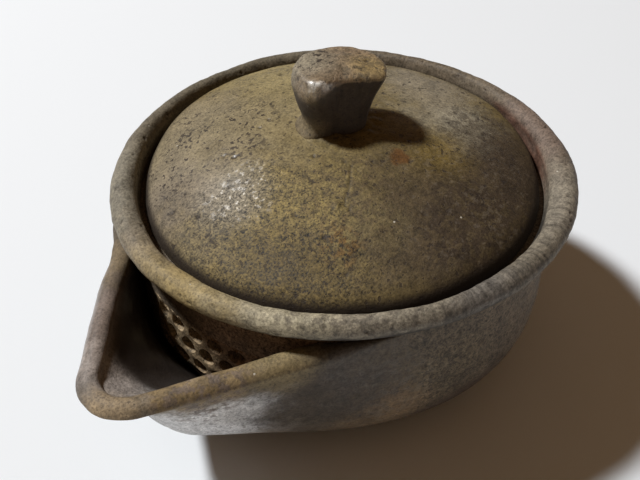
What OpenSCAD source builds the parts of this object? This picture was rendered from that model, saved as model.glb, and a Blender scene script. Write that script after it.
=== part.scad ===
// Hohin: a small handleless teapot in unglazed wood-fired stoneware, with an open spout and a loose lid.
// Millimetres. The origin is at the centre of the flat base, +Z is up and +X runs along the spout.

/* [Bowl] */
// Outer radius of the upright wall
bowl_r = 43.6; // [40:0.2:48]
// Height of the wall, up to the flat ledge that carries rim and lid
bowl_h = 38; // [34:0.5:46]
// Thickness of the wall
bowl_wall = 4.2; // [3.4:0.1:5.2]
// Thickness of the floor
bowl_floor = 5; // [4:0.1:7]
// Radius of the curve from the base into the wall
corner_r = 19.5; // [14:0.5:24]
// Thickness of the slip in a joint between curved clay faces
luting = 0.1; // [0.08:0.01:0.2]

/* [Rim] */
// Thickness of the rolled bead
rim_d = 6; // [5.2:0.1:7]
// How far the bead stands out past the wall
rim_over = 3.9; // [3:0.1:4.4]
// Height of the bead's centre above the wall
rim_rise = 3.5; // [3.1:0.1:5]

/* [Lid seat] */
// Depth of the ledge ring at the wall
seat_h = 4; // [3:0.1:6]
// Depth of the ledge ring at its inner edge
seat_edge = 2; // [1.5:0.1:2.8]
// Width of the lid's edge that rests on the ledge
seat_bearing = 4.2; // [3.2:0.1:5.5]

/* [Lid] */
// Clearance between the lid's edge and the rim
lid_gap = 0.8; // [0.5:0.1:1.4]
// Thickness of the lid's dome
lid_t = 5; // [3.5:0.1:6]
// Thickness of the brim at the lid's edge
brim_t = 2.4; // [1.6:0.1:3.2]
// Width of the step from the brim to the dome
brim_step = 0.9; // [0.4:0.1:2]
// Height of the dome's edge above the brim
dome_edge = 1.2; // [0.4:0.1:2.5]
// Rise of the dome from its edge to its crown
dome_rise = 10; // [7:0.1:12]

/* [Lid flange] */
// Clearance between the flange and the ledge
flange_gap = 1; // [0.6:0.1:1.6]
// Thickness of the flange
flange_t = 3; // [2:0.1:4]
// How far the flange reaches down under the lid
flange_h = 7; // [4:0.5:9]

/* [Knob] */
// Width of the knob's cap
knob_w = 19; // [16:0.5:24]
// Depth of the knob's cap
knob_d = 14; // [12:0.5:20]
// Width of the knob's neck
neck_w = 13.5; // [10:0.5:15]
// Depth of the knob's neck
neck_d = 10.5; // [8:0.5:12]
// Height of the knob above the lid
knob_h = 14.4; // [11:0.2:17]
// Rounding of the cap's edge
knob_round = 3.4; // [2:0.1:4.5]
// Dip of the cap from one end to the other
knob_tilt = 1.6; // [0:0.1:3]
// Direction of the cap's width, seen from above
knob_turn = 125; // [0:5:180]
// How far the knob was set off the lid's centre
knob_off = 2.5; // [0:0.1:4]
// Direction of that offset, seen from above
knob_off_dir = 215; // [0:5:355]

/* [Spout] */
// Distance from the pot's axis to the spout's tip
spout_reach = 71; // [64:0.5:80]
// Plan radius of the spout's tip
tip_r = 9; // [6:0.1:12]
// Thickness of the spout's wall
spout_wall = 4; // [3:0.1:5]
// Height left free between the spout's lip and the rim's underside level
lip_drop = 0.5; // [0.4:0.1:4]
// Rounding of the lip
lip_round = 2; // [1:0.1:2.5]
// Height of the spout's lowest edge
spout_foot = 1; // [0.5:0.1:4]
// How far the spout's keel stands off the bowl at that edge
keel_foot = 3; // [1:0.1:6]
// Height of the channel's lowest point at the bowl
channel_z = 10; // [7:0.5:16]
// Thinnest edge to which the spout's clay is smoothed out on the bowl
feather = 0.4; // [0.3:0.05:0.8]

/* [Strainer] */
// Width of the pierced panel, along the wall
strainer_w = 32; // [20:1:40]
// Height of the panel's lower edge
strainer_foot = 15.9; // [13:0.1:20]
// Wall left between the lid's ledge and the panel
strainer_margin = 4.3; // [1:0.1:6]
// Clay left round the outermost holes
strainer_edge = 0.7; // [0.5:0.1:2]
// Diameter of the holes
hole_d = 3.4; // [1.6:0.1:4]
// Distance between hole centres
hole_pitch = 5; // [4:0.1:6.5]

/* [Hidden] */
$fn = 96;

// Overshoot of a cut
eps = 1;

// Radii of the stack at the mouth, each from its neighbour and a clearance
wall_in = bowl_r - bowl_wall;
mouth_r = bowl_r + rim_over - rim_d;
lid_r = mouth_r - lid_gap;
seat_in = lid_r - seat_bearing;
flange_out = seat_in - flange_gap;
flange_in = flange_out - flange_t;

// Heights and radii of the lid's dome
brim_z = bowl_h + brim_t;
dome_r = lid_r - brim_step;
crown_z = brim_z + dome_edge + dome_rise;
dome_radius = (dome_r * dome_r + dome_rise * dome_rise) / (2 * dome_rise);
dome_center = crown_z - dome_radius;
// The crown is pressed flat, just wide enough to carry the neck
pad_r = knob_off + neck_w / 2;
pad_z = dome_center + sqrt(dome_radius * dome_radius - pad_r * pad_r);

// Extent of the strainer: half its angle about the axis, and the height of its upper edge
strainer_half = strainer_w / 2 / bowl_r * 180 / PI;
strainer_top = bowl_h - seat_h - strainer_margin;
// Radius from which the strainer is cut and pierced, inside the wall where its foot curves in
curve_in = corner_r - bowl_wall;
curve_drop = max(0, bowl_floor + curve_in - strainer_foot);
strainer_in = wall_in - curve_in + sqrt(curve_in * curve_in - curve_drop * curve_drop) - eps;

// Heights of the lip and of its shoulder, where the spout is widest
lip_z = bowl_h - lip_drop;
shoulder_z = lip_z - lip_round;
// The spout's sides are the lines that touch both the bowl's circle and the tip's circle
tip_center = spout_reach - tip_r;
side_angle = asin((bowl_r - tip_r) / tip_center);
// Share of the spout's overhang that is there at its foot already
foot_share = keel_foot / (spout_reach - bowl_r);
spout_half = asin(bowl_r / (bowl_r + feather)) - side_angle;

// Half of a bowl's section: straight wall above a rounded corner
module bowl_section(r, corner, z0, z1) {
    translate([0, z0]) square([r - corner, z1 - z0]);
    translate([0, z0 + corner]) square([r, z1 - z0 - corner]);
    intersection() {
        translate([r - corner, z0 + corner]) circle(corner);
        translate([0, z0]) square([r, z1 - z0]);
    }
}

// The whole pot wall with its floor, before the strainer's window is cut
module shell() {
    rotate_extrude() difference() {
        bowl_section(bowl_r, corner_r, 0, bowl_h);
        bowl_section(wall_in, curve_in, bowl_floor, bowl_h + eps);
    }
}

// Block about the +X axis that takes the strainer's stretch out of the wall
module strainer_block() {
    rotate([0, 0, -strainer_half])
        rotate_extrude(angle = 2 * strainer_half)
            translate([strainer_in, strainer_foot]) square([bowl_r + eps - strainer_in, strainer_top - strainer_foot]);
}

module bowl() {
    color([0.33, 0.28, 0.22]) difference() {
        shell();
        strainer_block();
    }
}

module rim_roll() {
    color([0.44, 0.39, 0.32]) rotate_extrude() {
        translate([mouth_r + rim_d / 2, bowl_h + rim_rise]) circle(rim_d / 2);
        translate([mouth_r, bowl_h]) square([bowl_r - mouth_r, rim_rise]);
    }
}

module lid_seat() {
    color([0.36, 0.25, 0.18]) rotate_extrude() polygon([
        [seat_in, bowl_h],
        [wall_in - luting, bowl_h],
        [wall_in - luting, bowl_h - seat_h],
        [seat_in, bowl_h - seat_edge]
    ]);
}

// Rows of holes in a triangular pattern, centred on the panel
module strainer_panel() {
    row_step = hole_pitch * sin(60);
    free_h = strainer_top - strainer_foot - hole_d - 2 * strainer_edge;
    free_w = strainer_w - hole_d - 2 * strainer_edge;
    rows = floor(free_h / row_step);
    step_angle = hole_pitch / bowl_r * 180 / PI;
    row_z = (strainer_foot + strainer_top - rows * row_step) / 2;
    color([0.40, 0.30, 0.19]) difference() {
        intersection() {
            shell();
            strainer_block();
        }
        for (i = [0:rows]) {
            stagger = ((rows - i + 1) % 2) / 2;
            last = floor(free_w / hole_pitch / 2 - stagger);
            for (j = [-last - 2 * stagger:last])
                rotate([0, 0, (j + stagger) * step_angle])
                    translate([strainer_in, 0, row_z + i * row_step])
                        rotate([0, 90, 0]) cylinder(h = bowl_r + eps - strainer_in, d = hole_d);
        }
    }
}

// Radius of the bowl's outside at a height
function bowl_at(z) = z >= corner_r ? bowl_r
    : bowl_r - corner_r + sqrt(corner_r * corner_r - (corner_r - z) * (corner_r - z));

// Plan radius of the spout's outline at an angle from its centre line, set in by t
function wedge(a, t) = let (r = tip_r - t)
    abs(a) < atan2(r * cos(side_angle), tip_center + r * sin(side_angle))
        ? tip_center * cos(a) + sqrt(r * r - pow(tip_center * sin(a), 2))
        : (bowl_r - t) / sin(abs(a) + side_angle);

// Outside and inside of the spout: each widens evenly from where it leaves the bowl up to the lip
function spout_out(a, z) = let (rise = (z - spout_foot) / (shoulder_z - spout_foot)) max(
    bowl_at(z) + (wedge(a, 0) - bowl_r) * (foot_share + (1 - foot_share) * rise),
    bowl_at(z) + luting + feather);
function spout_in(a, z) = max(
    bowl_at(z) + (wedge(a, spout_wall) - bowl_r) * (z - channel_z) / (shoulder_z - channel_z),
    bowl_at(z) + luting);

// One section of the spout in the upright plane at an angle: up the outside, over the lip, down the inside.
// Its levels crowd towards the foot, where the bowl curves most.
function spout_section(a, levels, lip_steps) =
    let (
        crowding = 1.6,
        round_h = min(lip_round, (spout_out(a, shoulder_z) - spout_in(a, shoulder_z)) / 2),
        top = lip_z - round_h,
        zs = [for (i = [0:levels]) spout_foot + (top - spout_foot) * pow(i / levels, crowding)],
        mid = (spout_out(a, top) + spout_in(a, top)) / 2,
        half = (spout_out(a, top) - spout_in(a, top)) / 2,
        path = concat(
            [for (z = zs) [spout_out(a, z), z]],
            [for (i = [1:lip_steps - 1])
                let (b = 180 * i / lip_steps) [mid + half * cos(b), top + round_h * sin(b)]],
            [for (i = [0:levels]) let (z = zs[levels - i]) [spout_in(a, z), z]])
    )
    [for (p = path) [p[0] * cos(a), p[0] * sin(a), p[1]]];

module spout() {
    sections = 56;
    levels = 16;
    lip_steps = 6;
    count = 2 * levels + lip_steps + 1;
    points = [
        for (k = [0:sections])
            each spout_section(spout_half * (2 * k / sections - 1), levels, lip_steps)
    ];
    skin = [
        for (k = [0:sections - 1], i = [0:count - 1])
            let (a = k * count + i, b = k * count + (i + 1) % count)
                each [[a, b, a + count], [b, b + count, a + count]]
    ];
    // Each end is closed by a ladder between the outside and the inside of its section
    middle = (count - 1) / 2;
    ladder = concat(
        [for (i = [0:middle - 1]) [i, count - 1 - i, i + 1]],
        [for (i = [0:middle - 2]) [i + 1, count - 1 - i, count - 2 - i]]);
    last = sections * count;
    far_end = [for (f = ladder) [f[0] + last, f[2] + last, f[1] + last]];
    color([0.44, 0.36, 0.25]) polyhedron(points, concat(ladder, far_end, skin));
}

module lid() {
    color([0.45, 0.39, 0.25]) rotate_extrude() difference() {
        union() {
            translate([0, bowl_h]) square([lid_r, brim_t]);
            intersection() {
                translate([0, dome_center]) circle(dome_radius);
                translate([0, bowl_h]) square([dome_r, pad_z - bowl_h]);
            }
        }
        intersection() {
            translate([0, dome_center]) circle(dome_radius - lid_t);
            translate([0, bowl_h - eps]) square([flange_in, crown_z - bowl_h]);
        }
    }
}

module lid_flange() {
    color([0.38, 0.27, 0.20]) rotate_extrude()
        translate([flange_in, bowl_h - flange_h]) square([flange_t, flange_h]);
}

// One level ring of the knob, an oval of w by d whose height dips towards one end
function knob_ring(w, d, z, sides) = [
    for (i = [0:sides - 1])
        let (a = 360 * i / sides)
            [w / 2 * cos(a), d / 2 * sin(a), pad_z + z * (1 + knob_tilt / knob_h * (cos(a) - 1) / 2)]
];

module lid_knob() {
    sides = 48;
    neck_levels = 8;
    round_levels = 5;
    edge_z = knob_h - knob_round;
    rings = concat(
        [for (i = [0:neck_levels])
            let (s = i / neck_levels, f = s * s * (3 - 2 * s))
                [neck_w + (knob_w - neck_w) * f, neck_d + (knob_d - neck_d) * f, edge_z * s]],
        [for (i = [1:round_levels])
            let (b = 90 * i / round_levels, cut = 2 * knob_round * (1 - cos(b)))
                [knob_w - cut, knob_d - cut, edge_z + knob_round * sin(b)]]);
    points = [for (r = rings) each knob_ring(r[0], r[1], r[2], sides)];
    top = (len(rings) - 1) * sides;
    skin = [
        for (k = [0:len(rings) - 2], i = [0:sides - 1])
            let (a = k * sides + i, b = k * sides + (i + 1) % sides)
                each [[a, a + sides, b], [b, a + sides, b + sides]]
    ];
    bottom_cap = [for (i = [1:sides - 2]) [0, i, i + 1]];
    top_cap = [for (i = [1:sides - 2]) [top, top + i + 1, top + i]];
    color([0.48, 0.42, 0.33])
        translate(knob_off * [cos(knob_off_dir), sin(knob_off_dir), 0]) rotate([0, 0, knob_turn])
            polyhedron(points, concat(skin, bottom_cap, top_cap));
}

bowl();
rim_roll();
lid_seat();
strainer_panel();
spout();
lid();
lid_flange();
lid_knob();
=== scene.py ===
import math

import bmesh
import bpy
from mathutils import Matrix, Vector, noise


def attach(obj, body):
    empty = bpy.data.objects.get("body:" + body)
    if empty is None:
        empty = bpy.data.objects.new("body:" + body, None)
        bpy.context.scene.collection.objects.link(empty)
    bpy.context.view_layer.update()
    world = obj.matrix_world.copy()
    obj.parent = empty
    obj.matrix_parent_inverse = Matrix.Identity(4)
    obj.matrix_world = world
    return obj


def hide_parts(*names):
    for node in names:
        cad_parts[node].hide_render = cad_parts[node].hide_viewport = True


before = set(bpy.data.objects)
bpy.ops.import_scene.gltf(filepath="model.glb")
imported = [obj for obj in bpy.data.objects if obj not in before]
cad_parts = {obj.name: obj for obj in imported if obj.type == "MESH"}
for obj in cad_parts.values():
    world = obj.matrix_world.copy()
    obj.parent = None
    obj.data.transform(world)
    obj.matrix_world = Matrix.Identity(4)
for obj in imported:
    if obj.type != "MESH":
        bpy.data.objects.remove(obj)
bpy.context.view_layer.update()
scene = bpy.context.scene
scene.view_settings.view_transform = "Standard"
mm = 0.001


# Table, lamp and camera. The pot stands on a plain white tabletop, lit by one lamp from the left, with a
# weak warm fill from the room. The camera looks down past the spout at the lid.
class Wire:
    """A socket in a shader. Sums and products of wires add Math nodes."""

    def __init__(self, socket):
        self.socket = socket

    def node(self, kind, settings, inputs, output=0):
        """Adds a node to the same shader and gives one of its outputs."""
        tree = self.socket.id_data
        made = tree.nodes.new(kind)
        for name, value in settings.items():
            setattr(made, name, value)
        for name, value in inputs.items():
            if isinstance(value, Wire):
                tree.links.new(value.socket, made.inputs[name])
            else:
                made.inputs[name].default_value = value
        return Wire(made.outputs[output])

    def math(self, operation, first, second):
        return self.node("ShaderNodeMath", {"operation": operation}, {0: first, 1: second})

    def __add__(self, other):
        return self.math("ADD", self, other)

    def __sub__(self, other):
        return self.math("SUBTRACT", self, other)

    def __rsub__(self, other):
        return self.math("SUBTRACT", other, self)

    def __mul__(self, other):
        return self.math("MULTIPLY", self, other)

    def __lt__(self, other):
        return self.math("LESS_THAN", self, other)

    __radd__ = __add__

    def part(self, axis):
        """One of the three numbers of a vector."""
        return self.node("ShaderNodeSeparateXYZ", {}, {0: self}, axis)

    def rise(self, low, high):
        """0 at low and 1 at high, smooth between them. Low may be the larger number."""
        return self.node("ShaderNodeMapRange", {"interpolation_type": "SMOOTHSTEP"},
                         {"Value": self, "From Min": low, "From Max": high})


def opaque(colour):
    return (*colour, 1.0)


table_half, table_drop = 0.8, 0.1 * mm
table_mesh = bmesh.new()
bmesh.ops.create_grid(table_mesh, x_segments=1, y_segments=1, size=table_half)
bmesh.ops.translate(table_mesh, verts=table_mesh.verts, vec=(0, 0, -table_drop))
mesh = bpy.data.meshes.new("table")
table_mesh.to_mesh(mesh)
table_mesh.free()
table = bpy.data.objects.new("table", mesh)
scene.collection.objects.link(table)
white = (0.835, 0.88, 0.92)
card = bpy.data.materials.new("white_card")
card.use_nodes = True
card_inputs = card.node_tree.nodes["Principled BSDF"].inputs
card_inputs["Base Color"].default_value = opaque(white)
card_inputs["Roughness"].default_value = 0.9
mesh.materials.append(card)

lamp = bpy.data.objects.new("lamp", bpy.data.lights.new("lamp", "AREA"))
lamp.data.size = 0.24
lamp.data.energy = 51
lamp_distance, lamp_turn, lamp_height = 2.2, math.radians(289), math.radians(57)
to_lamp = Vector((
    math.cos(lamp_height) * math.cos(lamp_turn),
    math.cos(lamp_height) * math.sin(lamp_turn),
    math.sin(lamp_height),
))
lamp.location = lamp_distance * to_lamp
lamp.rotation_euler = lamp.location.to_track_quat("Z", "Y").to_euler()
scene.collection.objects.link(lamp)

world = scene.world or bpy.data.worlds.new("room")
scene.world = world
world.use_nodes = True
room = world.node_tree
rays = room.nodes.new("ShaderNodeLightPath").outputs
heading = Wire(room.nodes.new("ShaderNodeTexCoord").outputs["Generated"])
mirrored = Wire(rays["Is Glossy Ray"]) + Wire(rays["Is Transmission Ray"])
# The camera sees white all round, and so do reflections near the horizon, as if the table ran on.
near_horizon = heading.part(2).rise(0.14, 0.02)
seen = Wire(rays["Is Camera Ray"]) + mirrored * near_horizon
room_light = (0.115, 0.069, 0.037)
paint = heading.node("ShaderNodeMix", {"data_type": "RGBA"},
                     {0: seen, 6: opaque(room_light), 7: opaque(white)}, 2)
room.links.new(paint.socket, room.nodes["Background"].inputs["Color"])

camera = bpy.data.objects.new("camera", bpy.data.cameras.new("camera"))
camera.data.sensor_width = 36
camera.data.lens = 49.78
image_right = Vector((-0.58963, 0.80757, -0.01305))
image_up = Vector((-0.53982, -0.38201, 0.75011))
axes = Matrix((image_right, image_up, image_right.cross(image_up))).transposed().to_4x4()
camera_place = Vector((120.39, 84.30, 151.28))
camera.matrix_world = Matrix.Translation(camera_place * mm) @ axes
scene.collection.objects.link(camera)
scene.camera = camera


# Bowl. The round pot body with its flat base, thrown in iron-bearing stoneware and fired bare in a wood kiln,
# so it is dark grey-brown with some ash. A window is left in the wall behind the spout for the strainer.
bowl_r, bowl_h, bowl_wall, floor_t, corner_r = 43.6, 38.0, 4.2, 5.0, 19.5
wall_in = bowl_r - bowl_wall
window_half, window_low, window_high = 21.0, 15.9, 29.7


def curved(r, corner, foot, z):
    """Radius of a wall with a rounded foot, at a height."""
    drop = max(0.0, foot + corner - z)
    return r - corner + math.sqrt(max(0.0, corner ** 2 - drop ** 2))


def arc(centre, radius, start, end, steps):
    """Points of (radius, height) along an arc of an outline, angles in degrees."""
    turns = [math.radians(start + (end - start) * i / steps) for i in range(steps + 1)]
    return [(centre[0] + radius * math.cos(t), centre[1] + radius * math.sin(t)) for t in turns]


def reach(start, end, steps):
    """Evenly spaced points after start, up to end."""
    return [tuple(s + (e - s) * i / steps for s, e in zip(start, end)) for i in range(1, steps + 1)]


def spun(outline, steps, closed=False):
    """Spins an outline of (radius, height) points in mm once about the pot's axis."""
    shape = bmesh.new()
    points = [shape.verts.new((r * mm, 0, z * mm)) for r, z in outline]
    pairs = list(zip(points, points[1:] + points[:1] if closed else points[1:]))
    lines = [shape.edges.new(pair) for pair in pairs]
    bmesh.ops.spin(shape, geom=points + lines, axis=(0, 0, 1), cent=(0, 0, 0), angle=math.tau,
                   steps=steps, use_merge=True)
    bmesh.ops.remove_doubles(shape, verts=shape.verts, dist=0.001 * mm)
    bmesh.ops.recalc_face_normals(shape, faces=shape.faces)
    return shape


def lump(co, size):
    """Smooth unevenness from -1 to 1, with dents about size mm across."""
    return noise.noise(co / (size * mm))


def between(x, low, high):
    """0 at low and 1 at high, smooth between them. Low may be the larger number."""
    t = min(1.0, max(0.0, (x - low) / (high - low)))
    return t * t * (3 - 2 * t)


def moved(shape, place):
    """Sets every point of a shape to where place puts it."""
    for vert in shape.verts:
        vert.co = place(vert.co)


def thrown(co):
    """Slow dents and fine turning lines that hands and wheel leave in the wall."""
    r = math.hypot(co.x, co.y)
    dents = 0.25 * lump(co, 15)
    turning = 0.09 * math.sin(co.z / mm * 2.0 + 2 * lump(co, 30))
    off_foot, off_floor = between(co.z / mm, 0.4, 8), between(r / mm, 24, 36)
    out = (dents + turning) * off_foot * off_floor * mm
    stretch = 1 + out / max(r, mm)
    return Vector((co.x * stretch, co.y * stretch, co.z))


black = (0.021, 0.014, 0.010)


def stoneware(name, ground, marks, glaze=(), grain=0.9, flecks=0.35, rough=()):
    """Bare wood-fired clay. A mark is (centre in mm, reach in mm, softness in mm, colour, strength, pattern).
    Pattern is solid, dots, flecks, streaks, under (a rim's lower half) or inner (its side towards the lid).
    Glaze lists (centre, reach, softness) of melted, glossy ash, and rough the same for gritty places."""
    clay = bpy.data.materials.new(name)
    clay.use_nodes = True
    tree = clay.node_tree
    place = Wire(tree.nodes.new("ShaderNodeTexCoord").outputs["Object"])

    def cloud(size, detail, output=0, at=place):
        """Noise with spots about size mm across."""
        return at.node("ShaderNodeTexNoise", {}, {"Vector": at, "Scale": 1 / (size * mm), "Detail": detail,
                                                  "Roughness": 0.6}, output)

    def strayed(from_place, size, far):
        """A place that wanders by up to about far mm, which makes a mark's edge uneven."""
        drift = place.node("ShaderNodeVectorMath", {"operation": "SUBTRACT"},
                           {0: cloud(size, 3, 1), 1: (0.5, 0.5, 0.5)})
        return place.node("ShaderNodeVectorMath", {"operation": "MULTIPLY_ADD"},
                          {0: drift, 1: (far * mm,) * 3, 2: from_place})

    def near(centre, size, soft):
        """1 in the middle of a mark and 0 beyond it."""
        edge = ragged if size > small_mark else frayed
        gap = place.node("ShaderNodeVectorMath", {"operation": "DISTANCE"},
                         {0: edge, 1: tuple(c * mm for c in centre)}, 1)
        return gap.rise((size + soft) * mm, (size - soft) * mm)

    def over(colour, tint, share):
        """A colour with a share of a tint laid over it."""
        return place.node("ShaderNodeMix", {"data_type": "RGBA"}, {0: share, 6: colour, 7: opaque(tint)}, 2)

    small_mark = 6
    frayed = strayed(place, 2.2, 4)
    ragged = strayed(strayed(place, 14, 22), 2.2, 7)
    wrap_r = 40 * mm
    around = place.math("ARCTAN2", place.part(1), place.part(0)) * wrap_r
    across = place.node("ShaderNodeCombineXYZ", {},
                        {0: around, 1: place.part(2) * 0.3, 2: place.part(0) * 0.2})
    flat = place.node("ShaderNodeVectorMath", {"operation": "MULTIPLY"}, {0: place, 1: (1, 1, 0)})
    radius = place.node("ShaderNodeVectorMath", {"operation": "LENGTH"}, {0: flat}, 1)
    clump, sand = cloud(6, 2), cloud(0.5, 3)
    patterns = {
        "solid": 1.0,
        "dots": cloud(1.5, 3).rise(0.46, 0.58),
        "flecks": (cloud(1.2, 2) + (clump - 0.5) * 0.4).rise(0.58, 0.64),
        "streaks": cloud(0.8, 3, 0, across).rise(0.44, 0.64),
        "under": place.part(2).rise(41.6 * mm, 39.4 * mm),
        "inner": radius.rise(42.1 * mm, 41.5 * mm),
    }
    colour = opaque(ground)
    for centre, size, soft, tint, strength, pattern in marks:
        colour = over(colour, tint, near(centre, size, soft) * strength * patterns[pattern])
    blotch = cloud(4.5, 5)
    grit = grain
    for centre, size, soft in rough:
        grit = near(centre, size, soft) * 0.8 + grit
    patchy, sandy = (blotch - 0.5) * 1.2, (sand - 0.5) * (grit * 3.4)
    coarse = (cloud(1.2, 2) - 0.5) * (grit * 1.8)
    tone = 1.0 + patchy + sandy + coarse
    colour = place.node("ShaderNodeVectorMath", {"operation": "SCALE"}, {0: colour, 3: tone})
    speck = (cloud(1.0, 1) + (clump - 0.5) * 0.25).rise(0.65, 0.70) * flecks
    colour = over(colour, black, speck)
    colour = over(colour, black, cloud(0.4, 1).rise(0.58, 0.68) * (grit * 0.7))
    cells = {"Vector": place, "Scale": 420}
    quartz_share, quartz_tint = 0.05, (0.52, 0.48, 0.40)
    luck = place.node("ShaderNodeTexVoronoi", {}, cells, 1).part(0)
    quartz = place.node("ShaderNodeTexVoronoi", {}, cells, 0).rise(0.11, 0.05) * (luck < quartz_share)
    colour = over(colour, quartz_tint, quartz)
    # Darkening stored on each piece's points is laid over in black: dark pits, the sooty inside of the spout,
    # and painted shade in the lid's groove, deep in the spout's channel and on the knob's front and
    # underside.
    pits_soot_and_shade = place.node("ShaderNodeAttribute", {"attribute_name": "pits_soot_and_shade"}, {}, 2)
    colour = over(colour, black, pits_soot_and_shade)
    shader = tree.nodes["Principled BSDF"]
    shader.inputs["Specular IOR Level"].default_value = 0.35
    tree.links.new(colour.socket, shader.inputs["Base Color"])
    melted = 0.0
    for centre, size, soft in glaze:
        melted = near(centre, size, soft) + melted
    roughness = 0.66 + (blotch - 0.5) * 0.3 + (sand - 0.5) * 0.25 - melted * 0.2
    tree.links.new(roughness.socket, shader.inputs["Roughness"])
    if glaze:
        tree.links.new((melted * 0.8).socket, shader.inputs["Coat Weight"])
        shader.inputs["Coat Roughness"].default_value = 0.3
    level = (blotch * 0.5 + sand * 0.42 - speck * 0.2 + quartz * 0.15) * (1.0 - melted * 0.6)
    bump = place.node("ShaderNodeBump", {}, {"Height": level, "Strength": 0.55, "Distance": 0.5 * mm})
    tree.links.new(bump.socket, shader.inputs["Normal"])
    return clay


def fired(shape, name, node, body, clay):
    """Turns a finished shape into the piece that stands for one solid of the frame."""
    crease = math.radians(40)
    mesh = bpy.data.meshes.new(name)
    shape.to_mesh(mesh)
    shape.free()
    mesh.shade_smooth()
    mesh.set_sharp_from_angle(angle=crease)
    mesh.materials.append(clay)
    piece = bpy.data.objects.new(name, mesh)
    scene.collection.objects.link(piece)
    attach(piece, body)
    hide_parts(node)


flat_r, curve_in = bowl_r - corner_r, corner_r - bowl_wall
out_start = -math.degrees(math.asin((corner_r - window_low) / corner_r))
in_start = -math.degrees(math.asin((floor_t + curve_in - window_low) / curve_in))
window_steps = 16
window_rows = [window_low + (window_high - window_low) * i / window_steps for i in range(window_steps + 1)]
bowl_outline = (
    [(0, 0)] + reach((0, 0), (flat_r, 0), 10)
    + arc((flat_r, corner_r), corner_r, -90, out_start, 24)[1:-1]
    + [(curved(bowl_r, corner_r, 0, z), z) for z in window_rows]
    + reach((bowl_r, window_high), (bowl_r, bowl_h), 8)
    + reach((bowl_r, bowl_h), (wall_in, bowl_h), 3)
    + reach((wall_in, bowl_h), (wall_in, window_high), 8)[:-1]
    + [(curved(wall_in, curve_in, floor_t, z), z) for z in reversed(window_rows)]
    + arc((flat_r, floor_t + curve_in), curve_in, in_start, -90, 16)[1:]
    + reach((flat_r, floor_t), (0, floor_t), 24)
)
bowl = spun(bowl_outline, 360)


def in_window(face):
    """Whether a face of the wall lies where the strainer goes."""
    middle = face.calc_center_median()
    r = math.hypot(middle.x, middle.y) / mm
    beside = abs(math.degrees(math.atan2(middle.y, middle.x))) < window_half
    return beside and r > flat_r and window_low < middle.z / mm < window_high


bmesh.ops.delete(bowl, geom=[f for f in bowl.faces if in_window(f)], context="FACES")
bmesh.ops.bridge_loops(bowl, edges=[e for e in bowl.edges if e.is_boundary])
bmesh.ops.recalc_face_normals(bowl, faces=bowl.faces)


def ringed_floor(co):
    """Finger rings that run outwards over the inside of the floor."""
    ring_h, rings_end = 0.16 * mm, 23.5
    r = math.hypot(co.x, co.y) / mm
    if abs(co.z / mm - floor_t) > 0.2 or r > rings_end:
        return co
    return co + Vector((0, 0, ring_h * math.sin(r * 1.7 + math.atan2(co.y, co.x)) * between(r, 1, 4)))


moved(bowl, thrown)
moved(bowl, ringed_floor)
flank_marks = [
    ((29, 34, 20), 20, 8, (0.105, 0.083, 0.058), 0.95, "solid"),
    ((28, -34, 20), 20, 8, (0.12, 0.095, 0.066), 0.95, "solid"),
    ((22, 37, 24), 11, 7, (0.145, 0.112, 0.069), 0.9, "solid"),
    # Painted light: the low front of the body is lightened, standing in for light bounced up from the table.
    ((28, 32.5, 16), 6, 4.5, (0.23, 0.155, 0.085), 0.9, "solid"),
    ((34, 27, 13), 6, 4.5, (0.17, 0.118, 0.068), 0.8, "solid"),
    ((13, 39, 8), 10, 5, (0.075, 0.05, 0.034), 0.85, "solid"),
    ((35, 26, 29), 8, 6, (0.07, 0.058, 0.05), 0.85, "solid"),
    ((34, 30, 24), 12, 8, (0.13, 0.12, 0.105), 0.4, "dots"),
]
bowl_marks = flank_marks + [
    ((-30, -34, 20), 24, 14, (0.19, 0.155, 0.10), 0.9, "solid"),
    ((-44, 10, 14), 16, 10, (0.13, 0.085, 0.055), 0.9, "solid"),
    ((-20, 40, 26), 18, 10, (0.15, 0.12, 0.085), 0.7, "dots"),
    ((0, -44, 22), 26, 12, (0.045, 0.038, 0.03), 0.7, "streaks"),
    ((30, 33, 22), 22, 10, (0.04, 0.033, 0.026), 0.5, "streaks"),
    # Lighter clay above the strainer under the rim: partly its reddish colour and partly painted light,
    # standing in for the fill that reaches it.
    ((41, 13, 33), 12, 6, (0.34, 0.24, 0.16), 0.9, "solid"),
]
bowl_clay = stoneware("bowl_clay", (0.155, 0.12, 0.082), bowl_marks)
fired(bowl, "pot_wall", "bowl", "pot", bowl_clay)


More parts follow.
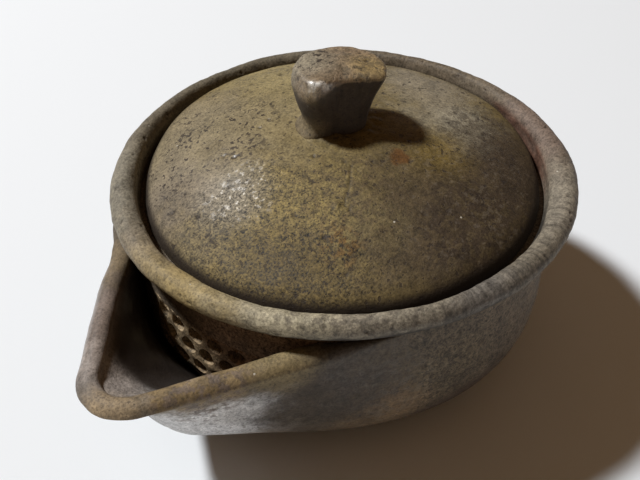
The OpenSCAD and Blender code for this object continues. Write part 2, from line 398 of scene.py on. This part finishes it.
# Strainer. The stretch of wall behind the spout, pierced while leather-hard with a round tool, row by row,
# so the holes stand in a close staggered pattern with thin webs and soft edges. It is bare brown clay.
strainer_w, strainer_middle = 32.0, (window_low + window_high) / 2
strainer_h = window_high - window_low
hole_d, hole_pitch, hole_sides, hole_shift = 3.4, 5.0, 24, -0.7
hole_stray, hole_worn, hole_uneven, hole_soft = 0.2, 1.1, 0.08, 0.3
row_step = hole_pitch * math.sin(math.radians(60))
holes = [Vector(((i - (count - 1) / 2) * hole_pitch + hole_shift, row * row_step, 0))
         for row, count in ((-1, 6), (0, 5), (1, 6)) for i in range(count)]
strainer = bmesh.new()
for spot in holes:
    aside, along = noise.noise(spot * 0.9), noise.noise(spot * 0.9 + Vector((7, 3, 1)))
    stray = Vector((aside, along, 0)) * hole_stray
    pierced = hole_d / 2 * (hole_worn + hole_uneven * noise.noise(spot * 1.3 + Vector((2, 9, 4))))
    cell = bmesh.ops.create_circle(strainer, segments=hole_sides, radius=hole_pitch / 2 * mm)["verts"]
    # The circle is pulled out to a hexagon, so that neighbouring cells share their sides.
    for vert in cell:
        to_side = (math.degrees(math.atan2(vert.co.y, vert.co.x)) + 390) % 60 - 30
        vert.co /= math.cos(math.radians(to_side))
    bmesh.ops.translate(strainer, verts=cell, vec=spot * mm)
    hole = bmesh.ops.create_circle(strainer, segments=hole_sides, radius=pierced * mm)["verts"]
    bmesh.ops.translate(strainer, verts=hole, vec=(spot + stray) * mm)
    bmesh.ops.bridge_loops(strainer, edges=list({e for v in cell + hole for e in v.link_edges}))
bmesh.ops.remove_doubles(strainer, verts=strainer.verts, dist=0.02 * mm)


def on_border(edge):
    """Whether an edge runs round the whole field of holes and not round one hole."""
    middle = (edge.verts[0].co + edge.verts[1].co) / 2 / mm
    return edge.is_boundary and min((middle - spot).length for spot in holes) > hole_d / 2 * 1.2


grown = bmesh.ops.extrude_edge_only(strainer, edges=[e for e in strainer.edges if on_border(e)])["geom"]
outer = [g for g in grown if isinstance(g, bmesh.types.BMVert)]
for vert in outer:
    vert.co /= max(abs(vert.co.x) / (strainer_w / 2 * mm), abs(vert.co.y) / (strainer_h / 2 * mm))
corners = [Vector((sx * strainer_w / 2, sy * strainer_h / 2, 0)) * mm
           for sx in (-1, 1) for sy in (-1, 1)]
for corner in corners:
    min(outer, key=lambda v: (v.co - corner).length).co = corner
bmesh.ops.recalc_face_normals(strainer, faces=strainer.faces)
bmesh.ops.solidify(strainer, geom=strainer.faces[:], thickness=bowl_wall * mm)
bmesh.ops.recalc_face_normals(strainer, faces=strainer.faces)
outer_face = max(v.co.z for v in strainer.verts)


def hole_rim(edge):
    """Whether an edge lies between a hole's side and a flat face of the sheet."""
    flat = [abs(f.normal.z) > 0.7 for f in edge.link_faces]
    middle = (edge.verts[0].co + edge.verts[1].co) / 2 / mm
    inside = abs(middle.x) < strainer_w / 2 - 0.1 and abs(middle.y) < strainer_h / 2 - 0.1
    return inside and len(flat) == 2 and flat[0] != flat[1]


bmesh.ops.bevel(strainer, geom=[e for e in strainer.edges if hole_rim(e)], affect="EDGES",
                offset=hole_soft * mm, segments=3, profile=0.5, material=-1, clamp_overlap=True)


def bowl_at(z):
    """Radius of the bowl's outside at a height."""
    return curved(bowl_r, corner_r, 0, z)


def bent(co):
    """Bends the flat pierced sheet round the wall, its face outwards."""
    turn, z = co.x / (bowl_r * mm), strainer_middle * mm + co.y
    r = bowl_at(z / mm) * mm - (outer_face - co.z)
    return thrown(Vector((r * math.cos(turn), r * math.sin(turn), z)))


moved(strainer, bent)
bmesh.ops.recalc_face_normals(strainer, faces=strainer.faces)
strainer_marks = [
    ((42, -9, 25), 9, 5, (0.36, 0.27, 0.16), 0.9, "solid"),
    # Partly reddish clay and partly painted light: the strip under the rim is lightened, standing in for the
    # fill that reaches it.
    ((42, 11, 29), 8, 5, (0.34, 0.21, 0.12), 0.9, "solid"),
]
strainer_clay = stoneware("strainer_clay", (0.24, 0.165, 0.095), strainer_marks, flecks=0.1)
fired(strainer, "pierced_wall", "strainer_panel", "pot", strainer_clay)


# Spout. An open wedge-shaped pouring lip, pressed from a slab of the same clay, luted over the strainer and
# smoothed into the wall. Its lip is a soft thick roll with golden-brown ash. Inside it is sooty dark clay
# with painted shade over it, black deep in the channel and lighter at the tip.
spout_reach, tip_r, spout_wall = 71.0, 9.0, 4.0
lip_z, lip_round, spout_foot, keel_foot, channel_z = 37.4, 2.0, 1.0, 2.9, 10.0
shoulder_z = lip_z - lip_round
tip_centre = spout_reach - tip_r
side_angle = math.asin((bowl_r - tip_r) / tip_centre)
spout_half = math.pi / 2 - side_angle - math.radians(0.6)
foot_share = keel_foot / (spout_reach - bowl_r)


def wedge(turn, inset):
    """Plan radius of the spout's outline, set in by a thickness."""
    r = tip_r - inset
    if abs(turn) < math.atan2(r * math.cos(side_angle), tip_centre + r * math.sin(side_angle)):
        return tip_centre * math.cos(turn) + math.sqrt(r * r - (tip_centre * math.sin(turn)) ** 2)
    return (bowl_r - inset) / math.sin(abs(turn) + side_angle)


def hump(turn, middle, half_width):
    """1 at a direction in degrees, falling off to both sides of it."""
    return math.exp(-((math.degrees(turn) - middle) / half_width) ** 2)


def swell(turn):
    """How far the left lip was pressed outwards, in mm."""
    return 0.3 * hump(turn, -12, 7) + 1.1 * hump(turn, -22, 11) + 2.6 * hump(turn, -44, 9)


def spout_out(turn, z):
    """Plan radius of the spout's outer face at a height, tucked in under the tip."""
    rise = (z - spout_foot) / (shoulder_z - spout_foot)
    over = wedge(turn, 0) + swell(turn) - bowl_r
    tuck = 3.0 * hump(turn, 1, 7.5) * between(over, 0.5, 6) * between(z, 35.0, 33.2) * between(z, 13, 28)
    return max(bowl_at(z) + over * (foot_share + (1 - foot_share) * rise) - tuck, bowl_at(z) - 0.15)


def spout_in(turn, z):
    """Plan radius of the channel's inner face at a height."""
    widening = (z - channel_z) / (shoulder_z - channel_z)
    thick = spout_wall + 0.8 * hump(turn, 24, 16) - swell(turn) * 0.6
    over = wedge(turn, thick) - bowl_r
    return max(bowl_at(z) + over * max(widening, 0) ** (1 + 0.9 * hump(turn, 0, 16)), bowl_at(z) - 0.4)


def section_point(turn, across, up):
    """Where a point of the flat section lies. Across is 1 outside and 0 inside, and up is 1 at the lip's
    shoulder."""
    half = (spout_out(turn, shoulder_z) - spout_in(turn, shoulder_z)) / 2
    round_h = min(lip_round, half)
    top = lip_z - round_h
    z = spout_foot + (top - spout_foot) * min(up, 1) + round_h * max(up - 1, 0)
    inside, outside = spout_in(turn, min(z, top)), spout_out(turn, min(z, top))
    r = inside + (outside - inside) * across
    return Vector((r * math.cos(turn), r * math.sin(turn), z)) * mm


levels, lip_steps, spout_steps, foot_crowding = 44, 14, 220, 1.3
flat_section = (
    [(1.0, (i / levels) ** foot_crowding) for i in range(levels + 1)]
    + [((1 + math.cos(math.pi * i / lip_steps)) / 2, 1 + math.sin(math.pi * i / lip_steps))
       for i in range(1, lip_steps)]
    + [(0.0, (1 - i / levels) ** foot_crowding) for i in range(levels + 1)]
)
spout = bmesh.new()
start = [spout.verts.new((1 + across, 0, up)) for across, up in flat_section]
loop = [spout.edges.new(pair) for pair in zip(start, start[1:] + start[:1])]
bmesh.ops.rotate(spout, verts=start, cent=(0, 0, 0), matrix=Matrix.Rotation(-spout_half, 3, "Z"))
bmesh.ops.spin(spout, geom=start + loop, axis=(0, 0, 1), cent=(0, 0, 0), angle=2 * spout_half,
               steps=spout_steps)
pits_soot_and_shade = spout.verts.layers.float.new("pits_soot_and_shade")
for vert in spout.verts:
    turn, across, up = math.atan2(vert.co.y, vert.co.x), math.hypot(vert.co.x, vert.co.y) - 1, vert.co.z
    place = section_point(turn, across, up)
    # Deep in the channel the clay is sooty and also painted in shade: black away from the tip, lighter at the
    # tip where light falls in.
    channel_dark_and_shade = between(across, 0.22, 0.0) * between(place.z / mm, 37.0, 33.0)
    vert[pits_soot_and_shade] = channel_dark_and_shade * (0.985 - 0.94 * between(place.x / mm, 58.5, 62))
    high = between(place.z / mm, 30, 37)
    dent = 0.22 * lump(place, 9) + 0.14 * lump(place, 3.5) + 0.06 * lump(place, 1.4) - 0.22
    place += Vector((math.cos(turn), math.sin(turn), 0)) * dent * high * mm
    place.z -= (0.25 + 0.25 * lump(place, 11)) * high * mm
    vert.co = thrown(place)
bmesh.ops.holes_fill(spout, edges=[e for e in spout.edges if e.is_boundary])
bmesh.ops.recalc_face_normals(spout, faces=spout.faces)
gold, dusk, ash_and_bounce_light = (0.205, 0.145, 0.07), (0.155, 0.118, 0.095), (0.66, 0.655, 0.65)
spout_marks = flank_marks + [
    # The pale ash on the near side is painted lighter than its own colour, standing in for light bounced up
    # from the table.
    ((59, 12, 21), 14, 6, ash_and_bounce_light, 1.0, "solid"),
    ((45, 26, 22), 10, 5, (0.065, 0.05, 0.035), 0.95, "solid"),
    ((55, 15, 16), 10, 6, (0.09, 0.075, 0.06), 0.6, "flecks"),
    ((47, 17, 8), 9, 5, (0.20, 0.165, 0.13), 0.9, "solid"),
    ((55.5, 15, 25), 5, 3.5, (0.62, 0.60, 0.57), 0.8, "solid"),
    ((63, 9, 37.4), 7, 4, gold, 0.95, "solid"),
    ((54, 14, 37.6), 6, 3, gold, 0.95, "solid"),
    ((46, 20, 37.6), 6, 4, (0.23, 0.175, 0.085), 0.95, "solid"),
    ((70, 3, 36.5), 5, 3, (0.30, 0.225, 0.135), 0.9, "solid"),
    ((58, 12, 37), 10, 5, dusk, 0.8, "dots"),
    ((56, -13, 37), 11, 6, (0.19, 0.15, 0.125), 0.95, "solid"),
    ((45, -24, 37), 7, 5, (0.17, 0.125, 0.07), 0.9, "solid"),
    ((66, 5.4, 37), 1.8, 1.2, black, 0.9, "flecks"),
    ((63, -4, 33), 6, 4, (0.33, 0.29, 0.26), 0.95, "solid"),
]
spout_glaze = [((55, -14, 36), 11, 7)]
spout_clay = stoneware("spout_clay", (0.085, 0.07, 0.052), spout_marks, glaze=spout_glaze, grain=0.5)
fired(spout, "pouring_spout", "spout", "pot", spout_clay)


# Lid seat. A flat ledge ring inside the mouth, turned from the same clay and luted to the wall.
# The lid rests on it; it is bare reddish-brown clay that no ash has reached.
seat_in, seat_out, seat_h, seat_edge, seat_round = 36.5, wall_in - 0.1, 4.0, 2.0, 0.6
seat_outline = (
    [(seat_out, bowl_h)] + reach((seat_out, bowl_h), (seat_in + seat_round, bowl_h), 3)
    + arc((seat_in + seat_round, bowl_h - seat_round), seat_round, 90, 180, 4)[1:]
    + reach((seat_in, bowl_h - seat_round), (seat_in, bowl_h - seat_edge + 0.4), 2)
    + reach((seat_in, bowl_h - seat_edge + 0.4), (seat_in + 0.4, bowl_h - seat_edge - 0.2), 2)
    + reach((seat_in + 0.4, bowl_h - seat_edge - 0.2), (seat_out, bowl_h - seat_h), 4)
    + reach((seat_out, bowl_h - seat_h), (seat_out, bowl_h - 0.5), 4)
)
seat = spun(seat_outline, 240, closed=True)
bare = (0.15, 0.08, 0.046)
seat_marks = [
    ((-20, 30, 38), 16, 12, (0.20, 0.12, 0.07), 0.7, "solid"),
    ((20, -30, 38), 20, 12, black, 0.5, "dots"),
]
seat_clay = stoneware("seat_clay", bare, seat_marks, flecks=0.1)
fired(seat, "lid_ledge", "lid_seat", "pot", seat_clay)


# Rim. A thick coil of clay rolled over the mouth and smoothed down with wet fingers, so it is round, a little
# uneven and pitted, and slimmer at the spout. Ash lies on it, pale grey and tan at the front, olive at the
# left and pinkish brown at the back.
rim_r, rim_middle, rim_z, rim_inside = 2.9, 44.35, 41.5, 41.55
rim_slim, rim_limit = 0.17, 47.45 * mm
rim_outline = (
    [(rim_inside, bowl_h)] + reach((rim_inside, bowl_h), (41.5, rim_z - 0.3), 4)
    + arc((rim_middle, rim_z), rim_r, 174, -98, 44)
    + reach((43.95, 38.63), (bowl_r, bowl_h), 2)
)
rim = spun(rim_outline, 900, closed=True)
pits_soot_and_shade = rim.verts.layers.float.new("pits_soot_and_shade")


def rim_wave(turn):
    """How far the rim runs out of round, in mm."""
    return (-0.1 + 0.39 * math.cos(turn - 1.20) + 0.34 * math.cos(2 * (turn + 0.70))
            + 0.39 * math.cos(3 * (turn + 0.14)) - 0.55 * max(0, math.cos(turn - 2.95)) ** 4
            - 0.3 * max(0, math.cos(turn - 4.5)) ** 6)


def pitted(co, size, share):
    """Depth from 0 to 1 of small burst pits, about size mm apart, in a share of the places."""
    sides = (Vector((0, 0, 0)), Vector((1, 0, 0)), Vector((0, 1, 0)))
    wander = Vector([lump(co + side, 0.9) for side in sides])
    away, centres = noise.voronoi(co / (size * mm) + wander * 0.22)
    keep = noise.noise(centres[0] * 3.7 + Vector((0.3, 0.7, 0.1))) * 0.5 + 0.5
    return between(away[0], 0.30, 0.08) if keep < share else 0.0


for vert in rim.verts:
    co = vert.co.copy()
    r, turn = math.hypot(co.x, co.y), math.atan2(co.y, co.x)
    out = Vector((co.x / r, co.y / r, 0))
    free = between(r / mm, 41.3, 44.5)
    coil = Vector((rim_middle * mm * math.cos(turn), rim_middle * mm * math.sin(turn), rim_z * mm))
    inwards = (coil - co).normalized()
    round_part = between(co.z / mm, 38.6, 40.0)
    pit = pitted(co, 2.0, 0.42) * round_part
    vert[pits_soot_and_shade] = 0.7 * pit
    slim = rim_slim * between(math.cos(turn - 0.7), 0.0, 0.7) * round_part
    co += out * (rim_middle + rim_r - r / mm) * slim * mm + Vector((0, 0, (rim_z * mm - co.z) * slim))
    dent = 0.18 + 0.2 * lump(co, 8) + 0.12 * lump(co, 3) + 0.06 * lump(co, 1.2) + 0.25 * pit
    vert.co = co + out * rim_wave(turn) * free * mm + inwards * dent * round_part * mm
    vert.co.y = max(-rim_limit, min(rim_limit, vert.co.y))
    vert.co.x = max(-rim_limit, vert.co.x)
bmesh.ops.recalc_face_normals(rim, faces=rim.faces)
rust = (0.12, 0.045, 0.024)
rim_marks = [
    ((34, -30, 42), 14, 10, (0.21, 0.19, 0.145), 0.9, "solid"),
    ((44, -12, 42), 8, 6, (0.25, 0.205, 0.14), 0.8, "solid"),
    ((45, 2, 42), 11, 7, (0.335, 0.255, 0.115), 0.95, "solid"),
    ((41, 18, 42), 11, 7, (0.40, 0.355, 0.245), 1.0, "solid"),
    ((32, 33, 42), 9, 6, (0.25, 0.22, 0.165), 0.9, "solid"),
    ((16, 43, 42), 9, 7, (0.17, 0.155, 0.135), 0.9, "solid"),
    ((-12, 43, 43), 14, 9, (0.25, 0.22, 0.17), 0.9, "solid"),
    ((-36, 26, 43), 14, 9, (0.19, 0.14, 0.11), 0.9, "solid"),
    ((-44, -6, 43), 16, 10, (0.16, 0.125, 0.085), 0.85, "solid"),
    ((-10, -44, 43), 24, 12, (0.125, 0.105, 0.07), 0.9, "solid"),
    ((34, 30, 42), 18, 9, (0.085, 0.07, 0.055), 0.55, "dots"),
    # Painted shade under the roll at the front and right, where it hangs over the wall.
    ((37, 25, 40), 14, 6, (0.045, 0.037, 0.03), 0.8, "under"),
    ((6, 45, 42), 24, 10, (0.035, 0.03, 0.026), 0.5, "streaks"),
    ((12, 43, 41), 30, 8, (0.022, 0.019, 0.016), 0.92, "under"),
    ((-33, 24, 42), 15, 5, rust, 0.8, "inner"),
]
rim_clay = stoneware("rim_clay", (0.16, 0.135, 0.095), rim_marks, grain=0.55)
fired(rim, "rolled_rim", "rim_roll", "pot", rim_clay)


# Lid. A domed disc of the same clay, thrown upside down and trimmed, that drops inside the rim onto the seat.
# Fly ash has melted over it: grey-lavender at the left, olive in the middle and dark brown at the right.
lid_r, lid_low, lid_edge, lid_round = 40.55, bowl_h, 40.5, 2.2
dome_r, dome_z, under_r, under_z = 89.4, -37.8, 79.2, -32.6
flange_in, flange_out = 32.5, 35.5


def on_arc(radius, centre_z, start, end, steps):
    """Points of (radius, height) on a dome's arc, from one plan radius to another."""
    spots = [start + (end - start) * i / steps for i in range(steps + 1)]
    return [(s, centre_z + math.sqrt(radius ** 2 - s ** 2)) for s in spots]


lid_outline = (
    on_arc(dome_r, dome_z, 0, 39.3, 116)
    + arc((lid_r - lid_round, lid_edge), lid_round, 62, 0, 9)
    + reach((lid_r, lid_edge), (lid_r - 0.1, 38.7), 4)
    + [(40.2, 38.15), (39.8, lid_low)]
    + reach((39.8, lid_low), (flange_in, lid_low), 6)
    + reach((flange_in, lid_low), (flange_in, 39.4), 2)
    + on_arc(under_r, under_z, flange_in - 0.2, 0, 30)
)
lid = spun(lid_outline, 520)
pits_soot_and_shade = lid.verts.layers.float.new("pits_soot_and_shade")
knob_off, knob_side, crown_z = 2.5, math.radians(215), 51.1
knob_place = Vector((knob_off * math.cos(knob_side), knob_off * math.sin(knob_side), crown_z))


def lid_wave(turn):
    """How far the lid's edge runs out of level, in mm."""
    return 0.32 * math.cos(turn + 3.07) + 0.54 * math.cos(2 * (turn - 1.19))


def off_crack(x, y):
    """Distance from the short drying crack beside the knob, in mm."""
    start, end = Vector((8.2, 8.3)), Vector((16.9, 12.7))
    spot = Vector((x, y + 0.2 * math.sin(x * 0.9)))
    along = min(1.0, max(0.0, (spot - start).dot(end - start) / (end - start).length_squared))
    return (spot - start.lerp(end, along)).length


lid_bumps = [((17.7, 11.5), 0.8, 0.3), ((31.8, -17.4), 0.6, -0.4), ((31.1, -11.4), 0.5, -0.35)]
for vert in lid.verts:
    co = vert.co.copy()
    x, y, r, turn = co.x / mm, co.y / mm, math.hypot(co.x, co.y) / mm, math.atan2(co.y, co.x)
    crown = dome_z + math.sqrt(dome_r ** 2 - r ** 2)
    upper = between(co.z / mm, 38.6, 41.0) * (1.0 if co.z / mm > crown - 3 else 0.0)
    wave = lid_wave(turn) * between(r, 8, 40)
    pit = pitted(co, 2.4, 0.36) * upper * between(r, 41, 39)
    crack = between(off_crack(x, y), 0.4, 0.1) * upper
    back = between(math.cos(turn - 3.75), -0.2, 0.6)
    turned = max(0, r - 37) ** 2 * 0.1 * (1 - back)
    # Painted shade: the groove between lid and rim is darkened, most at the front and right where no light
    # falls into it.
    groove_shade = between(r, 38.8, 40.1) * between(co.z / mm, 38.4, 40.0) * (0.93 - 0.6 * back)
    joint = between((Vector((x, y)) - knob_place.xy).length, 12, 6)
    vert[pits_soot_and_shade] = min(1.0, 0.75 * pit + 0.4 * crack + groove_shade)
    dent = 0.22 * lump(co, 16) + 0.14 * lump(co, 5) + 0.3 * joint * lump(co, 1.6) - 0.2 * pit - 0.1 * crack
    for (bump_x, bump_y), wide, rise in lid_bumps:
        share = math.exp(-(math.hypot(x - bump_x, y - bump_y) / wide) ** 2)
        dent += rise * share
        vert[pits_soot_and_shade] = min(1.0, vert[pits_soot_and_shade] + (0.85 * share if rise < 0 else 0))
    vert.co.z = co.z + (wave + dent - 0.3 - turned + 1.2 * back * between(r, 15, 40)) * upper * mm
    ring = 0.1 * math.sin(r * 1.5) * (1 - upper) * between(r, 33, 31) * between(co.z / mm, 38.5, 39.5)
    vert.co.z += ring * mm
bmesh.ops.recalc_face_normals(lid, faces=lid.faces)
olive, umber, haze = (0.215, 0.163, 0.06), (0.042, 0.028, 0.017), (0.205, 0.168, 0.122)
lid_marks = [
    ((27, -20, 45), 13, 9, haze, 0.95, "solid"),
    ((12, -28, 46), 15, 10, (0.24, 0.197, 0.12), 0.9, "solid"),
    ((7, -14, 50), 11, 8, (0.255, 0.205, 0.105), 0.85, "solid"),
    ((24, 9, 48), 14, 9, olive, 0.85, "solid"),
    ((33, 12, 43), 11, 8, (0.095, 0.068, 0.024), 0.85, "solid"),
    ((36, -7, 43), 9, 7, (0.165, 0.128, 0.06), 0.85, "solid"),
    ((18, 30, 45), 10, 8, (0.07, 0.05, 0.024), 0.9, "solid"),
    ((4, 29, 47), 15, 9, umber, 0.92, "solid"),
    ((-17, 32, 44), 15, 9, umber, 0.92, "solid"),
    ((-20, 13, 48), 9, 7, (0.28, 0.25, 0.185), 0.85, "solid"),
    ((-31, 0, 45), 12, 8, (0.24, 0.205, 0.145), 0.9, "solid"),
    ((-18, -25, 46), 15, 9, (0.285, 0.23, 0.11), 0.9, "solid"),
    ((-7, 18, 49), 6, 5, (0.17, 0.115, 0.025), 0.7, "solid"),
    ((6, 26, 47), 19, 10, (0.15, 0.11, 0.045), 0.25, "dots"),
    ((0, 30, 46), 20, 8, (0.14, 0.12, 0.095), 0.25, "flecks"),
    ((17, 20, 48), 6, 4, (0.15, 0.115, 0.05), 0.6, "solid"),
    ((16, 15, 49), 14, 8, (0.09, 0.062, 0.032), 0.5, "dots"),
    ((-21, 20, 47), 12, 8, umber, 0.5, "dots"),
    ((11, -23, 47), 13, 8, black, 0.9, "flecks"),
    ((25, -22, 45), 9, 7, black, 0.85, "flecks"),
    ((31, -6, 46), 10, 7, black, 0.6, "flecks"),
    # A painted highlight over pale ash flecks, where a glossy spot shines on the lid's front left.
    ((25, -8, 48), 6, 5, (0.38, 0.35, 0.29), 0.5, "solid"),
    ((24, -7, 48), 6, 4, (0.66, 0.64, 0.58), 0.6, "flecks"),
    ((0.1, 13.9, 50.4), 1.9, 0.9, (0.11, 0.045, 0.008), 0.85, "solid"),
    ((24, 17, 47), 3.4, 2.6, (0.14, 0.072, 0.012), 0.7, "dots"),
]
lid_glaze = [((13, -17, 49), 10, 6), ((8, -6, 51), 7, 5)]
lid_rough = [((34, 6, 44), 20, 12)]
lid_clay = stoneware("lid_clay", (0.16, 0.118, 0.044), lid_marks, glaze=lid_glaze, grain=0.5, flecks=0.75,
                     rough=lid_rough)
fired(lid, "domed_lid", "lid", "lid", lid_clay)


# Lid flange. A plain collar luted under the lid, which keeps it in the mouth when the pot is tipped to pour.
# It is bare reddish-brown clay with a soft lower edge.
flange_low, flange_round = 31.0, 1.2
flange_side = flange_low + flange_round
flange_outline = (
    [(flange_in, lid_low)] + reach((flange_in, lid_low), (flange_in, flange_side), 8)
    + arc((flange_in + flange_round, flange_side), flange_round, 180, 270, 5)[1:]
    + reach((flange_in + flange_round, flange_low), (flange_out - flange_round, flange_low), 2)
    + arc((flange_out - flange_round, flange_side), flange_round, 270, 360, 5)[1:]
    + reach((flange_out, flange_side), (flange_out, lid_low), 8)
)
flange = spun(flange_outline, 240, closed=True)
moved(flange, lambda co: co + Vector((co.x, co.y, 0)).normalized() * 0.15 * mm * lump(co, 12))
flange_marks = [
    ((30, 16, 34), 16, 12, (0.21, 0.13, 0.075), 0.7, "solid"),
    ((-20, -28, 34), 18, 12, black, 0.5, "dots"),
]
flange_clay = stoneware("flange_clay", bare, flange_marks, flecks=0.1)
fired(flange, "lid_collar", "lid_flange", "lid", flange_clay)


# Knob. A lump of clay pinched on to the crown off its centre. Its left end is left as a fat round lobe over
# a smeared foot, and thumb and fingers have pressed the rest to a sharp ridge over a tapering neck. Tan ash
# with dark pits lies on top.
knob_turn = math.radians(125)
knob_reach = [
    (0, 8.7), (20, 8.7), (45, 8.7), (75, 8.4), (105, 8.5), (135, 9.0), (160, 9.4), (180, 9.6),
    (200, 9.5), (215, 9.3), (228, 9.2), (238, 8.8), (246, 7.5), (254, 6.0), (264, 5.0), (278, 4.6),
    (295, 4.7), (312, 5.6), (325, 7.0), (340, 8.4), (350, 8.7), (360, 8.7),
]
lobe = [
    (0, -1.4), (0, 0), (0.14, 1.0), (0.32, 2.4), (0.53, 3.9), (0.74, 5.4), (0.89, 6.8), (0.97, 8.2),
    (1, 9.6), (1, 11.0), (0.985, 12.0), (0.945, 12.65), (0.88, 13.05), (0.76, 13.35), (0.6, 13.55),
    (0.42, 13.7), (0.2, 13.8), (0, 13.85),
]
ridge = [
    (0, -1.4), (0, 0), (0.06, 1.6), (0.17, 3.4), (0.33, 5.4), (0.54, 7.4), (0.74, 9.2), (0.9, 10.6),
    (0.98, 11.5), (1, 12.0), (0.985, 12.4), (0.94, 12.7), (0.86, 12.9), (0.72, 13.1), (0.55, 13.3),
    (0.36, 13.5), (0.18, 13.7), (0, 13.85),
]
knob_levels, widest = len(lobe) - 1, 9
neck_long, neck_wide, foot_wide, foot_flare = 5.0, 4.5, 2.0, 2.4


def reached(degrees):
    """Plan radius of the knob's cap in a direction, in mm."""
    for (start, near), (end, far) in zip(knob_reach, knob_reach[1:]):
        if degrees <= end:
            return near + (far - near) * between(degrees, start, end)


def smeared(degrees):
    """1 where the knob's foot was smeared out on the lid, at its left."""
    return between(degrees, 120, 180) * between(degrees, 258, 215)


def pinched(turn, level):
    """Where a point of the knob lies before it is set down, from its direction and its level, which counts
    along the profiles."""
    degrees = math.degrees(turn) % 360
    fat = between(degrees, 80, 140) * between(degrees, 285, 235)
    low = min(int(level), knob_levels - 1)
    part = level - low
    spots = [[p + (q - p) * part for p, q in zip(line[low], line[low + 1])] for line in (lobe, ridge)]
    share, up = (f * fat + g * (1 - fat) for f, g in zip(*spots))
    cap = reached(degrees)
    neck = neck_long * neck_wide / math.hypot(neck_wide * math.cos(turn), neck_long * math.sin(turn))
    neck += foot_wide * smeared(degrees)
    flare = foot_flare * smeared(degrees) * between(level, 4.0, 0.6) ** 2
    r = neck + (cap - neck) * share + flare if level < widest else cap * share
    u, v = r * math.cos(turn), r * math.sin(turn)
    return Vector((u, v, up - 0.3 * between(u, 2, 9) * between(up, 6, 12)))


# A plain tube first, whose height counts the levels. Each of its points then goes to its place.
tube_r, tube_fine = 20, 3
knob = spun([(tube_r, i / tube_fine) for i in range(tube_fine * knob_levels + 1)], 180)
pits_soot_and_shade = knob.verts.layers.float.new("pits_soot_and_shade")
for vert in knob.verts:
    turn, level = math.atan2(vert.co.y, vert.co.x), vert.co.z / mm
    degrees = math.degrees(turn) % 360
    spot = pinched(turn, level)
    on_top = between(level, 9, 11)
    pit = pitted(spot * mm, 2.5, 0.5) * on_top
    # Painted shade: the front below the ridge and the underside are darkened, except the lit foot smeared out
    # at the left. Pits on top are darkened as well.
    front = between(degrees, 226, 252) * between(degrees, 352, 330)
    shade = between(level, 8.4 + 0.9 * front, 7.0 + 1.5 * front)
    foot = smeared(degrees) * between(level, 5.0, 3.0)
    vert[pits_soot_and_shade] = max(0.85 * pit, 0.85 * shade * (1 - 0.9 * foot))
    uneven = 0.035 * noise.noise(spot / 4) + 0.012 * noise.noise(spot / 1.5)
    swelling = 1 + uneven * between(level, 2, 5) * (1 - on_top)
    bumps = 0.3 * noise.noise(spot / 4.5) + 0.1 * noise.noise(spot / 1.6) - 0.3 * pit
    lift = bumps * on_top * between(level, 17, 15)
    spot = Vector((spot.x * swelling, spot.y * swelling, spot.z + lift))
    spot.rotate(Matrix.Rotation(knob_turn, 3, "Z"))
    vert.co = (knob_place + spot) * mm
bmesh.ops.remove_doubles(knob, verts=knob.verts, dist=0.001 * mm)
bmesh.ops.holes_fill(knob, edges=[e for e in knob.edges if e.is_boundary])
bmesh.ops.recalc_face_normals(knob, faces=knob.faces)
knob_marks = [
    ((1, -8, 63), 5.8, 4, (0.245, 0.215, 0.155), 0.9, "solid"),
    ((-5, 3.5, 64), 4, 3, (0.29, 0.21, 0.09), 0.9, "solid"),
    ((-4, 1, 65), 5.8, 3, (0.11, 0.085, 0.05), 0.6, "dots"),
    ((-0.8, -6.7, 64), 5.5, 2.5, black, 0.9, "flecks"),
    ((8, -1.5, 61.6), 2.6, 1.6, (0.25, 0.185, 0.09), 0.7, "solid"),
    ((4.5, -6, 52), 6, 3, (0.16, 0.125, 0.07), 0.95, "solid"),
]
# A painted highlight: pale marks along the front of the ridge, where the lamp glints on it.
crest_highlight = [(7.2, -2.4, 63.8), (6.5, -1.2, 63.9), (5.6, -0.1, 63.9), (4.6, 0.8, 64.0)]
pale = (0.60, 0.58, 0.53)
knob_marks += [(spot, 0.9, 0.8, pale, 0.9, "solid") for spot in crest_highlight]
knob_glaze = [((6, -1, 64), 4, 2)]
knob_clay = stoneware("knob_clay", (0.23, 0.165, 0.10), knob_marks, glaze=knob_glaze, grain=0.6, flecks=0.7)
fired(knob, "pinched_knob", "lid_knob", "lid", knob_clay)
